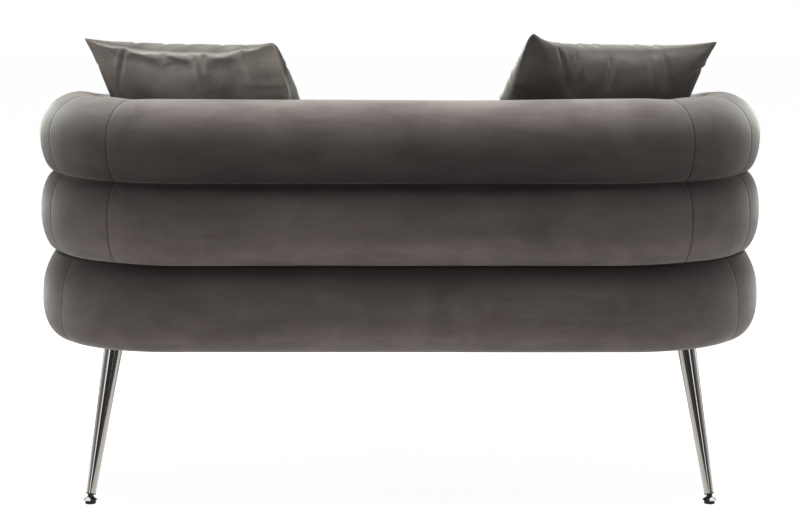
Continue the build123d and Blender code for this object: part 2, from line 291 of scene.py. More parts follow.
class Bench:
    """A node tree that is being built."""

    def __init__(self, tree):
        self.tree = tree

    def node(self, kind, settings=None, values=None, out=0):
        """Adds a node, applies its settings, fills its sockets, and gives one of its outputs."""
        made = self.tree.nodes.new(kind)
        for name, value in (settings or {}).items():
            if name == "stops":
                ramp = made.color_ramp
                while len(ramp.elements) < len(value):
                    ramp.elements.new(1.0)
                for element, (place, colour) in zip(ramp.elements, value):
                    element.position = place
                    element.color = colour
            else:
                setattr(made, name, value)
        for name, value in (values or {}).items():
            socket = made.inputs[name]
            if isinstance(value, Wire):
                self.tree.links.new(value.socket, socket)
            else:
                socket.default_value = value
        return Wire(self, made.outputs[out]) if made.outputs else None

    def mix(self, factor, first, second):
        return self.node("ShaderNodeMix", {"data_type": "RGBA"}, {0: factor, 6: first, 7: second}, out=2)

    def noise(self, place, scale, detail=2.0, roughness=0.5, distortion=0.0):
        values = {"Vector": place, "Scale": scale, "Detail": detail}
        values |= {"Roughness": roughness, "Distortion": distortion}
        return self.node("ShaderNodeTexNoise", None, values)

    def stretched(self, place, scale):
        return self.node("ShaderNodeMapping", None, {"Vector": place, "Scale": scale})

    def ramp(self, factor, low, high):
        stops = ((low, (0, 0, 0, 1)), (high, (1, 1, 1, 1)))
        return self.node("ShaderNodeValToRGB", {"stops": stops}, {"Fac": factor})

    def bump(self, height, strength, distance, normal=None):
        values = {"Height": height, "Strength": strength, "Distance": distance}
        if normal is not None:
            values["Normal"] = normal
        return self.node("ShaderNodeBump", None, values)

    def place(self):
        return self.node("ShaderNodeTexCoord", out=3)

    def seen_directly(self):
        """1 for what the camera, a mirror or a clear body shows, and 0 for light on the sofa."""
        path = self.tree.nodes.new("ShaderNodeLightPath")
        seen = Wire(self, path.outputs["Is Camera Ray"]).larger(Wire(self, path.outputs["Is Glossy Ray"]))
        return seen.larger(Wire(self, path.outputs["Is Transmission Ray"]))


def finish_bench(name):
    """A new empty material and its bench."""
    material = bpy.data.materials.new(name)
    material.use_nodes = True
    material.node_tree.nodes.clear()
    return material, Bench(material.node_tree)


def surface(bench, **values):
    """Ends a material in a Principled shader; socket names use _ for a space."""
    sockets = {name.replace("_", " "): value for name, value in values.items()}
    shader = bench.node("ShaderNodeBsdfPrincipled", None, sockets)
    bench.node("ShaderNodeOutputMaterial", None, {"Surface": shader})


def velvet(name, dark, light):
    """Short pile that is brushed into soft patches, darker down in the seams, with painted light and shade
    from a per-point level between its dark and light colours.
    """
    material, bench = finish_bench(name)
    place = bench.place()
    patches = bench.noise(place, 6.0, 4.0, 0.62, 0.8)
    strokes = bench.noise(bench.stretched(place, (9.0, 22.0, 34.0)), 1.0, 3.0, 0.6, 0.4)
    pile = bench.noise(place, 950.0, 2.0, 0.7)
    clumps = bench.noise(place, 210.0, 3.0, 0.6)
    seam = bench.node("ShaderNodeAttribute", {"attribute_name": "seam"}, out=2)
    nap = bench.node("ShaderNodeAttribute", {"attribute_name": "nap"}, out=2)
    brushed = bench.ramp(patches * 0.62 + strokes * 0.38, 0.36, 0.64)
    # Painted light and shade: the per-point level picks between the shaded and the lit colour
    lay = bench.ramp(nap, 0.0, 0.8)
    colour = bench.mix(lay * (0.56 + 0.44 * brushed) + 0.12 * brushed, dark, light)
    speckled = bench.mix(pile * 0.10, colour, pile_fleck)
    sewn = bench.mix(seam * 0.6, speckled, seam_thread)
    grain = bench.bump(pile * 0.6 + clumps * 0.4, 0.34, 0.0007)
    relief = bench.bump(patches * 0.5 + strokes * 0.5, 0.10, 0.006, grain)
    surface(
        bench,
        Base_Color=sewn,
        Roughness=0.72 + 0.16 * clumps,
        Normal=relief,
        Sheen_Weight=0.55,
        Sheen_Roughness=0.36,
        Sheen_Tint=sheen_tint,
        Specular_IOR_Level=0.18,
    )
    return material


def polished_metal(name, tone):
    """Bright metal with faint wiping marks along its length."""
    material, bench = finish_bench(name)
    place = bench.place()
    wiped = bench.noise(bench.stretched(place, (60.0, 60.0, 4.0)), 1.0, 4.0, 0.6)
    smears = bench.ramp(bench.noise(place, 24.0, 3.0, 0.55), 0.45, 0.75)
    colour = bench.mix(smears * 0.22, tone, (0.66, 0.63, 0.59, 1))
    grain = bench.bump(wiped, 0.03, 0.0004)
    surface(
        bench,
        Base_Color=colour,
        Metallic=1.0,
        Roughness=0.055 + 0.05 * smears + 0.03 * wiped,
        Normal=grain,
    )
    return material


def painted_metal(name, tone):
    """Thin coat with a fine orange peel and rubbed spots."""
    material, bench = finish_bench(name)
    place = bench.place()
    peel = bench.noise(place, 520.0, 2.0, 0.5)
    rubbed = bench.ramp(bench.noise(place, 46.0, 4.0, 0.65), 0.58, 0.74)
    colour = bench.mix(rubbed * 0.5, tone, (0.13, 0.125, 0.12, 1))
    surface(
        bench,
        Base_Color=colour,
        Roughness=0.36 + 0.22 * rubbed + 0.06 * peel,
        Normal=bench.bump(peel, 0.14, 0.0003),
    )
    return material


def moulded(name, tone, roughness, grain_scale):
    """Moulded plastic or rubber with a fine grain and dusty patches."""
    material, bench = finish_bench(name)
    place = bench.place()
    grain = bench.noise(place, grain_scale, 2.0, 0.6)
    dust = bench.ramp(bench.noise(place, 60.0, 4.0, 0.6), 0.5, 0.8)
    colour = bench.mix(dust * 0.35, tone, (0.085, 0.08, 0.075, 1))
    surface(
        bench,
        Base_Color=colour,
        Roughness=roughness + 0.12 * dust,
        Normal=bench.bump(grain, 0.18, 0.0003),
    )
    return material


def sawn_wood(name, pale, brown, along):
    """Wood whose grain runs along one axis, with rings, pores and a few dark streaks."""
    material, bench = finish_bench(name)
    place = bench.place()
    drawn = bench.stretched(place, along)
    rings = bench.noise(drawn, 1.0, 5.0, 0.6, 1.4)
    pores = bench.noise(drawn, 7.0, 2.0, 0.7)
    streaks = bench.ramp(rings, 0.38, 0.66)
    colour = bench.mix(streaks, pale, brown)
    worn = bench.mix(bench.ramp(pores, 0.55, 0.72) * 0.4, colour, (0.22, 0.13, 0.07, 1))
    surface(
        bench,
        Base_Color=worn,
        Roughness=0.62 + 0.2 * pores,
        Normal=bench.bump(pores * 0.6 + rings * 0.4, 0.2, 0.0006),
    )
    return material


def open_cells(name, pale, shade):
    """Cut foam with fine open cells."""
    material, bench = finish_bench(name)
    place = bench.place()
    cells = bench.node("ShaderNodeTexVoronoi", None, {"Vector": place, "Scale": 420.0})
    drift = bench.noise(place, 9.0, 3.0, 0.6)
    colour = bench.mix(cells * 0.7 + drift * 0.3, pale, shade)
    surface(bench, Base_Color=colour, Roughness=0.86 + 0.08 * drift, Normal=bench.bump(cells, 0.4, 0.0012))
    return material


def matted(name, tone, fleck):
    """Needled felt, wadding or non-woven cloth: short fibres lying every way."""
    material, bench = finish_bench(name)
    place = bench.place()
    fibres = bench.noise(bench.stretched(place, (330.0, 120.0, 240.0)), 1.0, 3.0, 0.7, 1.2)
    crossing = bench.noise(bench.stretched(place, (120.0, 330.0, 200.0)), 1.0, 3.0, 0.7, 1.2)
    lumps = bench.noise(place, 40.0, 3.0, 0.6)
    colour = bench.mix(bench.ramp(fibres * 0.5 + crossing * 0.5, 0.4, 0.62), tone, fleck)
    surface(
        bench,
        Base_Color=colour,
        Roughness=0.82 + 0.12 * lumps,
        Normal=bench.bump(fibres * 0.4 + crossing * 0.4 + lumps * 0.2, 0.36, 0.001),
    )
    return material


def woven_strap(name, tone, thread):
    """Elastic strap: ribs across, with pale threads showing between them."""
    material, bench = finish_bench(name)
    place = bench.place()
    settings = {"wave_type": "BANDS", "bands_direction": "DIAGONAL"}
    values = {"Vector": place, "Scale": 260.0, "Distortion": 0.4}
    ribs = bench.node("ShaderNodeTexWave", settings, values, out=1)
    fuzz = bench.noise(place, 700.0, 2.0, 0.6)
    colour = bench.mix(bench.ramp(ribs * 0.8 + fuzz * 0.2, 0.62, 0.86), tone, thread)
    surface(bench, Base_Color=colour, Roughness=0.7 + 0.15 * fuzz, Normal=bench.bump(ribs, 0.3, 0.0006))
    return material


finishes = {
    "velvet": velvet("roll_velvet", painted_shade_pile, painted_light_pile),
    # The cushions' velvet has a lighter end than the rolls': painted light on the same velvet
    "cushion_velvet": velvet("pillow_velvet", painted_shade_pile, cushion_painted_light_pile),
    "fibre_fill": matted("fibre_wadding", (0.82, 0.82, 0.80, 1), (0.93, 0.93, 0.92, 1)),
    "foam": open_cells("seat_foam_cells", (0.86, 0.80, 0.55, 1), (0.70, 0.62, 0.38, 1)),
    "felt": matted("grey_felt", (0.24, 0.24, 0.235, 1), (0.38, 0.37, 0.36, 1)),
    "webbing": woven_strap("elastic_webbing", (0.018, 0.018, 0.020, 1), (0.10, 0.095, 0.09, 1)),
    "plywood": sawn_wood("birch_ply", (0.66, 0.50, 0.32, 1), (0.50, 0.34, 0.19, 1), (14.0, 60.0, 60.0)),
    "timber": sawn_wood("planed_pine", (0.62, 0.43, 0.25, 1), (0.43, 0.26, 0.13, 1), (8.0, 70.0, 70.0)),
    "dust_cloth": matted("black_non_woven", (0.012, 0.012, 0.012, 1), (0.035, 0.035, 0.036, 1)),
    "plate_steel": painted_metal("black_plate_coat", (0.016, 0.016, 0.017, 1)),
    "polished_steel": polished_metal("polished_leg", (0.80, 0.785, 0.765, 1)),
    "black_plastic": moulded("black_plug", (0.014, 0.014, 0.014, 1), 0.42, 900.0),
    "black_steel": painted_metal("black_stud", (0.012, 0.012, 0.013, 1)),
    "black_rubber": moulded("black_sole", (0.013, 0.013, 0.013, 1), 0.66, 600.0),
}
bright_zinc = polished_metal("zinc_fixing", (0.62, 0.62, 0.60, 1))

# Every piece that keeps its solid takes the finish of its slot
for entry in frame["record"]["subparts"]:
    for place in nodes[entry["node"]].material_slots:
        place.material = finishes[entry["material_slot"]]


def new_piece(name, points, faces, seams, painted_lights):
    """A mesh object from points and faces, with its seam shading, its painted light and shade, and outward
    normals.
    """
    mesh = bpy.data.meshes.new(name)
    mesh.from_pydata([tuple(point) for point in points], [], faces)
    for label, values in (("seam", seams), ("nap", painted_lights)):
        mark = mesh.attributes.new(label, "FLOAT", "POINT")
        mark.data.foreach_set("value", values)
    shell = bmesh.new()
    shell.from_mesh(mesh)
    bmesh.ops.triangulate(shell, faces=[face for face in shell.faces if len(face.verts) > 4])
    bmesh.ops.recalc_face_normals(shell, faces=shell.faces)
    shell.to_mesh(mesh)
    shell.free()
    mesh.shade_smooth()
    piece = bpy.data.objects.new(name, mesh)
    bpy.context.scene.collection.objects.link(piece)
    return piece


def settle(piece, held, pressure, reach, frames, slack=0.0, bending=roll_bending):
    """Blows the padding up as cloth, holding some points, and keeps every point within reach of its start."""
    mesh = piece.data
    start = [vertex.co.copy() for vertex in mesh.vertices]
    piece.vertex_groups.new(name="held").add(held, 1.0, "REPLACE")
    cloth = piece.modifiers.new("padding", "CLOTH")
    cloth.settings.quality = 5
    cloth.settings.mass = 0.3
    cloth.settings.air_damping = 2.0
    cloth.settings.tension_stiffness = 18.0
    cloth.settings.compression_stiffness = 12.0
    cloth.settings.shear_stiffness = 6.0
    cloth.settings.bending_stiffness = bending
    cloth.settings.shrink_min = -slack
    cloth.settings.use_pressure = True
    cloth.settings.uniform_pressure_force = pressure
    cloth.settings.effector_weights.gravity = 0.0
    cloth.collision_settings.use_collision = False
    cloth.settings.vertex_group_mass = "held"
    cloth.point_cache.frame_start = 1
    cloth.point_cache.frame_end = frames
    scene = bpy.context.scene
    for moment in range(1, frames + 1):
        scene.frame_set(moment)
    settled = piece.evaluated_get(bpy.context.evaluated_depsgraph_get())
    moved = [vertex.co.copy() for vertex in settled.data.vertices]
    piece.modifiers.remove(cloth)
    scene.frame_set(1)
    for vertex, old, new in zip(mesh.vertices, start, moved):
        step = new - old
        if step.length > reach:
            step *= reach / step.length
        vertex.co = old + step
    piece.vertex_groups.clear()


def soften(piece):
    """One level of subdivision over the settled cloth."""
    smooth = piece.modifiers.new("soft_surface", "SUBSURF")
    smooth.levels = 1
    smooth.render_levels = 1
    smooth.use_limit_surface = False


def dress(piece, body, slot, *stands_for):
    """Gives a soft piece its velvet and its place in the frame, and hides the solids that it stands for."""
    piece.data.materials.append(finishes[slot])
    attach(piece, body)
    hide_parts(*stands_for)


def waviness(point):
    """Slow unevenness of stuffed padding."""
    return wave_depth * noise.noise(Vector(point) * wave_scale)


def seam_pull(along, round_fraction, weight):
    """How far the cover sinks near a seam: the stitched line, its dimple and the puckers beside it."""
    line = seam_depth * exp(-((along / seam_half) ** 2))
    dimple = dimple_depth * exp(-((along / dimple_reach) ** 2))
    uneven = 0.5 + 0.5 * noise.noise(Vector((pucker_drift * round_fraction, pucker_slant * along, weight)))
    ripple = 0.5 + 0.5 * sin(2 * pi * puckers_round * round_fraction + pucker_slant * along)
    return weight * (line + dimple + pucker_depth * uneven * ripple * exp(-abs(along) / pucker_reach))


def seam_mark(along, weight):
    """How dark the cover shows at a seam."""
    return weight * exp(-((along / seam_half) ** 2))


def domed_profile(half, low, high):
    """Section of the top roll, from its outer foot over the top to its inner foot and back below."""
    side_steps, top_steps, foot_steps = 9, 26, 8
    belt = high - half
    flat = half - draw_in
    points = []
    for step in range(side_steps):
        turn = pi / 2 * (1 - step / side_steps)
        points.append((flat + draw_in * cos(turn), belt - (belt - low) * sin(turn)))
    for step in range(top_steps):
        turn = pi * step / top_steps
        points.append((half * cos(turn), belt + half * sin(turn)))
    for step in range(side_steps):
        turn = pi / 2 * step / side_steps
        points.append((-flat - draw_in * cos(turn), belt - (belt - low) * sin(turn)))
    for step in range(foot_steps):
        points.append((flat * (2 * step / foot_steps - 1), low))
    return points


def squashed_profile(half, low, high):
    """Section of the middle roll, flat where its neighbours press on it."""
    side_steps, flat_steps = 18, 8
    flat = half - draw_in
    middle = (low + high) / 2
    points = []
    for step in range(side_steps):
        turn = pi * (step / side_steps - 0.5)
        points.append((flat + draw_in * cos(turn), middle + (high - low) / 2 * sin(turn)))
    for step in range(flat_steps):
        points.append((flat * (1 - 2 * step / flat_steps), high))
    for step in range(side_steps):
        turn = pi * (step / side_steps + 0.5)
        points.append((-flat + draw_in * cos(turn), middle + (high - low) / 2 * sin(turn)))
    for step in range(flat_steps):
        points.append((flat * (2 * step / flat_steps - 1), low))
    return points


def run_place(along):
    """Point of the rolls' centre line, its outward direction, and how far along an arm it lies."""
    side = 1 if along < whole_run / 2 else -1
    near = along if side > 0 else whole_run - along
    if near <= arm_run:
        return Vector((side * arm_x, arm_end_y + near, 0)), Vector((side, 0, 0)), 1 - near / arm_run
    turn = min((near - arm_run) / bend, pi / 2)
    out = Vector((side * cos(turn), sin(turn), 0))
    centre = Vector((side * bend_x, bend_y, 0)) + bend * out
    centre.x -= side * max(near - arm_run - bend_run, 0)
    return centre, out, 0.0


def run_stations(seams, step):
    """Places along the run, close together at each seam."""
    count = round(whole_run / step)
    even = [whole_run * index / count for index in range(count + 1)]
    close = [seam + row * seam_half for seam in seams for row in seam_rows]
    clear = [place for place in even if all(abs(place - near) > seam_half for near in close)]
    return sorted(clear + [place for place in close if 0 <= place <= whole_run])


def painted_light_level(height, low, high, painted_light_below, aside):
    """Painted light and shade by height: lighter below when the light is painted from below, otherwise
    lighter above, evened along the arms to one level with painted shadow near the foot.
    """
    up = min(max((height - low) / (high - low), 0.0), 1.0)
    if painted_light_below:
        return (1 - up) ** painted_light_rise
    lay = sum(share * up**fall for share, fall in (painted_light_slow, painted_light_quick))
    end = painted_light_end * min(up / painted_shadow_foot, 1.0)
    return lay + (end - lay) * painted_light_aside * aside


def roll_mesh(name, profile, rear, front, painted_light_below):
    """A roll swept round the back and both arms and turned round its front ends."""
    seams = {0.0: nose_seam, whole_run: nose_seam}
    for turn, weight in roll_seams:
        seams[arm_run + bend_run - bend * turn] = weight
        seams[whole_run - arm_run - bend_run + bend * turn] = weight
    stations = run_stations(seams, roll_step)
    points, shade, painted_lights, held, rings = [], [], [], [], []
    for along in stations:
        centre, out, arm = run_place(along)
        half = roll_half + (arm_end_half - roll_half) * arm
        low = rear[0] + (front[0] - rear[0]) * arm
        high = rear[1] + (front[1] - rear[1]) * arm
        seam = min(seams, key=lambda place: abs(along - place))
        gap = along - seam
        section = profile(half, low, high)
        ring = []
        for order, (offset, height) in enumerate(section):
            inward = Vector((-offset, (low + high) / 2 - height)).normalized()
            pressed = abs(offset) <= half - draw_in and (height == low or profile is squashed_profile)
            pull = 0.0
            if not pressed:
                pull = seam_pull(gap, order / len(section), seams[seam]) - waviness((*centre.xy, height))
            where = centre + out * (offset + inward.x * pull)
            where.z = height + inward.y * pull
            ring.append(len(points))
            if pressed or abs(gap) < seam_half / 2:
                held.append(len(points))
            points.append(where)
            shade.append(seam_mark(gap, seams[seam]))
            # Painted light and shade by height round the section
            painted_lights.append(painted_light_level(height, low, high, painted_light_below, abs(out.x)))
        rings.append(ring)
    faces = []
    size = len(rings[0])
    for ring, following in zip(rings, rings[1:]):
        for order in range(size):
            after = (order + 1) % size
            faces.append((ring[order], ring[after], following[after], following[order]))
    for side, ring in ((1, rings[0]), (-1, rings[-1])):
        add_nose(points, shade, painted_lights, faces, held, ring, side, profile, front, painted_light_below)
    piece = new_piece(name, points, faces, shade, painted_lights)
    settle(piece, held, roll_pressure, roll_reach, settle_frames)
    soften(piece)
    return piece


def add_nose(points, shade, painted_lights, faces, held, ring, side, profile, front, painted_light_below):
    """Turns the outer half of an end section round the arm's front end to meet the inner half."""
    section = profile(arm_end_half, *front)
    size = len(section)
    middles = sorted(range(size), key=lambda order: abs(section[order][0]))[:2]
    foot, crest = sorted(middles, key=lambda order: section[order][1])
    outer = []
    order = foot
    while order != crest:
        outer.append(order)
        order = (order + 1) % size
    outer.append(crest)
    inner = [foot]
    order = foot
    while order != crest:
        order = (order - 1) % size
        inner.append(order)
    columns = [[ring[order] for order in outer]]
    middle = (front[0] + front[1]) / 2
    for step in range(1, nose_steps):
        turn = pi * step / nose_steps
        away = Vector((side * cos(turn), -sin(turn), 0))
        column = [ring[foot]]
        gap = arm_end_half * min(turn, pi - turn)
        for order in outer[1:-1]:
            offset, height = section[order]
            pressed = offset <= arm_end_half - draw_in and (height == front[0] or profile is squashed_profile)
            inward = Vector((-offset, middle - height)).normalized()
            pull = 0.0 if pressed else seam_pull(gap, order / size, nose_seam)
            where = Vector((side * arm_x, arm_end_y, 0)) + away * (offset + inward.x * pull)
            where.z = height + inward.y * pull
            column.append(len(points))
            if pressed:
                held.append(len(points))
            points.append(where)
            shade.append(seam_mark(gap, nose_seam))
            # Painted light and shade round the arm's front end, as along the arm
            painted_lights.append(painted_light_level(height, *front, painted_light_below, 1.0))
        columns.append(column + [ring[crest]])
    columns.append([ring[order] for order in inner])
    for column, following in zip(columns, columns[1:]):
        for low, high in zip(range(len(column)), range(1, len(column))):
            corners = (column[low], column[high], following[high], following[low])
            faces.append(tuple(dict.fromkeys(corners)))


def outline_stations(step):
    """Segments and fractions round the base outline, close together at the rear corner seams."""
    side = half_depth * 2 - rear_corner - front_corner
    lengths = (
        side,
        rear_corner * pi / 2,
        2 * (half_width - rear_corner),
        rear_corner * pi / 2,
        side,
        front_corner * pi / 2,
        2 * (half_width - front_corner),
        front_corner * pi / 2,
    )
    stations = []
    for segment, length in enumerate(lengths):
        count = round(length / step)
        fractions = [index / count for index in range(count)]
        if segment in (1, 3):
            seam = 1 - base_seam / (pi / 2) if segment == 1 else base_seam / (pi / 2)
            near = seam_half / length
            close = [seam + row * near for row in seam_rows]
            fractions = [part for part in fractions if all(abs(part - place) > near for place in close)]
            stations += [(segment, part, (part - seam) * length) for part in sorted(fractions + close)]
        else:
            stations += [(segment, part, step * count) for part in fractions]
    return stations


def outline_point(segment, part, width, back, front, rear_radius, front_radius):
    """Point on an outline with its own rear and front corner radius."""
    rear_x = width - rear_radius
    front_x = width - front_radius
    rear_y = back - rear_radius
    front_y = front + front_radius
    if segment == 0:
        return Vector((width, front_y + (rear_y - front_y) * part, 0))
    if segment == 2:
        return Vector((rear_x * (1 - 2 * part), back, 0))
    if segment == 4:
        return Vector((-width, rear_y + (front_y - rear_y) * part, 0))
    if segment == 6:
        return Vector((front_x * (2 * part - 1), front, 0))
    turn = pi / 2 * (part + (segment - 1) / 2)
    radius = rear_radius if segment in (1, 3) else front_radius
    centre_x = (rear_x if segment in (1, 3) else front_x) * (1 if segment in (1, 7) else -1)
    centre_y = rear_y if segment in (1, 3) else front_y
    return Vector((centre_x + radius * cos(turn), centre_y + radius * sin(turn), 0))


def base_shape(inset, square=0.0):
    """Outline sizes of the base block, drawn in by one distance, with its rear corners made squarer."""
    ease = corner_ease * inset
    return (
        half_width - inset,
        half_depth - inset,
        inset - half_depth,
        rear_corner - square - ease,
        front_corner - ease,
    )


def crown_shape(inset):
    """Outline sizes of the seat between the rolls, drawn in by one distance."""
    flat = roll_half - draw_in
    ease = corner_ease * inset
    return (
        arm_x - flat - inset,
        back_y - flat - inset,
        draw_in + inset - half_depth,
        max(bend - flat - ease, least_corner),
        max(front_corner - draw_in - ease, least_corner),
    )


def cavity_shape():
    """Outline sizes of the space that the base frame fills."""
    return (
        arm_x + wall_half,
        back_y + wall_half,
        roll_half - wall_half - half_depth,
        bend + wall_half,
        cavity_corner,
    )


def base_mesh():
    """The base block: barrel sides, the crowned seat on top, and the hollow for the frame below."""
    stations = outline_stations(base_step)
    levels = []
    for step in range(side_levels):
        turn = pi / 2 * (1 - step / side_levels)
        under = sin(turn) ** (2 / base_fullness)
        inset = bottom_tuck * (1 - max(cos(turn), 0.0) ** (2 / base_fullness))
        shape = base_shape(inset, base_square * under)
        levels.append((shape, base_belt - (base_belt - base_bottom) * under, "side"))
    for step in range(rise_levels + 1):
        rise = step / rise_levels
        levels.append((base_shape(draw_in * rise**2), base_belt + (seat_line - base_belt) * rise, "side"))
    for step in range(crown_levels + 1):
        inset = crown_limit * (step / crown_levels) ** crown_spread
        near = min(inset / crown_width, 1.0)
        height = seat_line + crown_rise * (1 - (1 - near) ** 2) - seat_reach * near
        levels.append((crown_shape(inset), height, "edge" if step == 0 else "seat"))
    lining = [
        (base_shape(bottom_tuck + lining_gap, base_square), base_bottom, "lining"),
        (base_shape(bottom_tuck + lining_gap), board_high.z, "lining"),
        (cavity_shape(), board_high.z, "lining"),
        (cavity_shape(), foam_high.z, "lining"),
    ]
    levels = lining[::-1] + levels
    points, shade, painted_lights, held, rings = [], [], [], [], []
    for shape, height, part in levels:
        ring = []
        for segment, fraction, gap in stations:
            where = outline_point(segment, fraction, *shape)
            out = Vector((where.x * half_depth, where.y * half_width, 0)).normalized()
            mark = 0.0
            if part == "side":
                low_edge = (height - base_bottom) / (seat_line - base_bottom)
                where -= out * (seam_pull(gap, 0.5 * low_edge, nose_seam) - waviness((*where.xy, height)))
                mark = seam_mark(gap, nose_seam)
            if part == "edge":
                mark = edge_mark
            where.z = height
            ring.append(len(points))
            if part in ("lining", "edge") or abs(gap) < seam_half / 2 and part == "side":
                held.append(len(points))
            points.append(where)
            shade.append(mark)
            # Painted light: one level on the seat, and lighter towards the bottom of the sides
            if part in ("seat", "edge"):
                painted_lights.append(seat_painted_light)
            else:
                painted_lights.append(painted_light_level(height, base_bottom, seat_line, True, 0.0))
        rings.append(ring)
    held += rings[len(lining)] + rings[len(lining) + side_levels + rise_levels]
    faces = []
    size = len(stations)
    for ring, following in zip(rings, rings[1:]):
        for order in range(size):
            after = (order + 1) % size
            faces.append((ring[order], ring[after], following[after], following[order]))
    faces += close_strip(rings[0], stations) + close_strip(rings[-1], stations)
    piece = new_piece("base_padding", points, faces, shade, painted_lights)
    settle(piece, held, roll_pressure, seat_reach, settle_frames)
    soften(piece)
    return piece


def close_strip(ring, stations):
    """One face that closes a ring."""
    rear = [ring[order] for order, station in enumerate(stations) if station[0] in (1, 2, 3)]
    left = [ring[order] for order, station in enumerate(stations) if station[0] in (4, 5)]
    front = [ring[order] for order, station in enumerate(stations) if station[0] == 6]
    right = [ring[order] for order, station in enumerate(stations) if station[0] in (7, 0)]
    return [tuple(rear + left + front + right)]


def pillow_frame(side):
    """Matrix from a cushion's own axes, along its chord, up its lean and out of its face, to the frame."""
    chord = Vector((side * cos(pillow_yaw), -sin(pillow_yaw), 0))
    behind = Vector((side * sin(pillow_yaw), cos(pillow_yaw), 0))
    up = behind * sin(pillow_lean) + Vector((0, 0, cos(pillow_lean)))
    slope = sin(pillow_lean) / cos(pillow_lean)
    arm_gap = roll_half * (hypot(1, slope * sin(pillow_yaw)) - 1) + pillow_arm_gap
    back_gap = roll_half * (hypot(1, slope * cos(pillow_yaw)) - 1) + pillow_back_gap
    reach = pillow_half - pillow_sag
    touch_x = arm_x - roll_half - arm_gap - reach * cos(pillow_yaw)
    touch_y = back_y - roll_half - back_gap - reach * sin(pillow_yaw)
    belt = roll_top - roll_half
    rest = seat_line + crown_rise + pillow_seat_gap + pillow_half * cos(pillow_lean)
    centre = Vector((side * touch_x, touch_y, belt)) + up * ((rest - belt) / cos(pillow_lean))
    turned = Matrix((chord, up, chord.cross(up))).transposed().to_4x4()
    return Matrix.Translation(centre) @ turned


def pillow_tucks(seed):
    """Short folds along the four seams of a cushion: face, edge, place, length, depth and slant."""
    chance = random.Random(seed)
    tucks = []
    for face in (1, -1):
        for edge in range(4):
            for order in range(tucks_along):
                part = (order + 0.5 + chance.uniform(-tuck_stray, tuck_stray)) / tucks_along
                place = (part * 2 * tuck_span - tuck_span) * pillow_half
                length = chance.uniform(*tuck_lengths)
                depth = chance.uniform(tuck_least, 1.0) * tuck_depth
                slant = chance.uniform(-tuck_slant, tuck_slant)
                tucks.append((face, edge, place, length, depth, slant))
    return tucks


def tuck_pull(tucks, face, x, y, edges):
    """How far a cushion's face sinks in the folds that start at its seams."""
    pull = 0.0
    for tuck_face, edge, place, length, depth, slant in tucks:
        away = edges[edge]
        if tuck_face != face or away > tuck_fade * length:
            continue
        along = (y if edge < 2 else x) - place - slant * away
        fade = away / length * exp(1 - away / length)
        fold = exp(-((along / tuck_half) ** 2))
        ridge = exp(-(((along - 2 * tuck_half) / tuck_half) ** 2))
        pull += depth * fade * (fold - tuck_ridge * ridge)
    return pull


def crowded(part):
    """A place between -1 and 1, with the cells closer together towards both ends."""
    return part * (cell_reach - cell_crowding * part**2)


def pillow_mesh(name, side, seed, nap, slump, lift, front_bulge):
    """Two velvet faces sewn along a drawn-in seam, tucked and blown up, in a corner of the seat."""
    cells = pillow_cells
    tucks = pillow_tucks(seed)
    points, shade, painted_lights, front, back = [], [], [], {}, {}
    for face, table in ((1, front), (-1, back)):
        ahead = face * side > 0
        fullness = pillow_front_fullness if ahead else pillow_back_fullness
        bulge = front_bulge if ahead else pillow_bulge
        for row in range(cells + 1):
            for column in range(cells + 1):
                if face < 0 and (row in (0, cells) or column in (0, cells)):
                    table[row, column] = front[row, column]
                    continue
                across = crowded(2 * column / cells - 1)
                upward = crowded(2 * row / cells - 1)
                tip = pillow_tip * max(across, -inner_tip * across) * abs(upward) ** tip_power
                above = min(max((upward - outer_fill_start) / outer_fill_run, 0.0), 1.0)
                side_sag = pillow_sag * (1 - pillow_outer_fill * (3 - 2 * above) * above**2 * (across > 0))
                top_sag = pillow_sag + pillow_top_sag * max(upward, 0.0)
                x = across * (pillow_half - side_sag * (1 - abs(upward) ** pillow_ear)) + tip
                y = upward * (pillow_half - top_sag * (1 - abs(across) ** pillow_ear))
                tip_blunt = pillow_blunt * (outer_blunt if across > 0 else 1.0)
                blunt = 1 - tip_blunt / pillow_half * abs(across * upward) ** blunt_power
                x, y = blunt * x, blunt * y
                x, y = x + slump * y, y - slump * x * max(upward, 0.0)
                y += lift * (max(-across, 0.0) * max(upward, 0.0)) ** lift_power
                edges = [pillow_half * max(1 + way, 0.0) for way in (across, -across, upward, -upward)]
                thin = fullness + pillow_corner_thin * (across * upward) ** 2 * ahead
                swell = max((1 - across**2) * (1 - upward**2), 0.0) ** thin
                spot = Vector((dent_scale * x + seed, dent_scale * y, face))
                dents = pillow_dent * noise.noise(spot) * swell
                table[row, column] = len(points)
                rise = bulge * swell + dents - tuck_pull(tucks, face, x, y, edges)
                points.append(Vector((x, y, face * rise)))
                shade.append(exp(-((min(edges) / seam_half) ** 2)))
                # Painted light: the front face one level, the back face the cushion's level with painted
                # shade along its top seam
                rim_painted_light = 1 - (1 - pillow_rim_painted_light) * exp(-edges[3] / pillow_rim_shade_reach)
                painted_lights.append(pillow_front_painted_light if ahead else nap * rim_painted_light)
    faces = []
    for table, flip in ((front, False), (back, True)):
        for row in range(cells):
            for column in range(cells):
                corners = [table[row + up, column + over] for up, over in cell_corners]
                faces.append(tuple(reversed(corners)) if flip else tuple(corners))
    piece = new_piece(name, points, faces, shade, painted_lights)
    rim = [front[row, column] for row, column in front if row in (0, cells) or column in (0, cells)]
    settle(piece, rim, pillow_pressure, pillow_reach, pillow_frames, pillow_slack, pillow_bending)
    lay = pillow_frame(side)
    for vertex in piece.data.vertices:
        vertex.co = lay @ vertex.co
    soften(piece)
    return piece


top_padding = roll_mesh(
    "top_roll_padding", domed_profile, (mid_top, roll_top), (mid_top - mid_drop, roll_top - top_drop), False
)
dress(top_padding, "sofa", "velvet", "top_roll")

